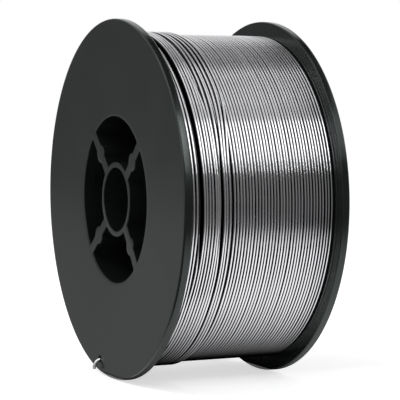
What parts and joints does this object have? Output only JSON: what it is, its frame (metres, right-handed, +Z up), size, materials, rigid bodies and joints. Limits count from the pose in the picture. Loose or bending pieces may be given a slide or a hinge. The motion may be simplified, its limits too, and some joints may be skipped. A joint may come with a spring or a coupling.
{
  "type": "mig welding wire spool",
  "caption": "Small black plastic basket spool with ribbed hub, wound full of steel welding wire whose loose end is hooked through a flange hole.",
  "frame": {"origin": "middle of the bore, halfway between the two flanges", "axes": "+Y along the bore from the front flange to the rear one, +Z up as the spool stands on its rims, +X to the right as seen from the front"},
  "size_m": [0.098, 0.0486, 0.098],
  "materials": {
    "spool_plastic": "fine matte moulded",
    "steel_wire": "drawn bright"
  },
  "bodies": {
    "root": {"spool_half_front": "spool_plastic", "spool_half_rear": "spool_plastic", "wound_wire": "steel_wire"}
  },
  "joints": []
}
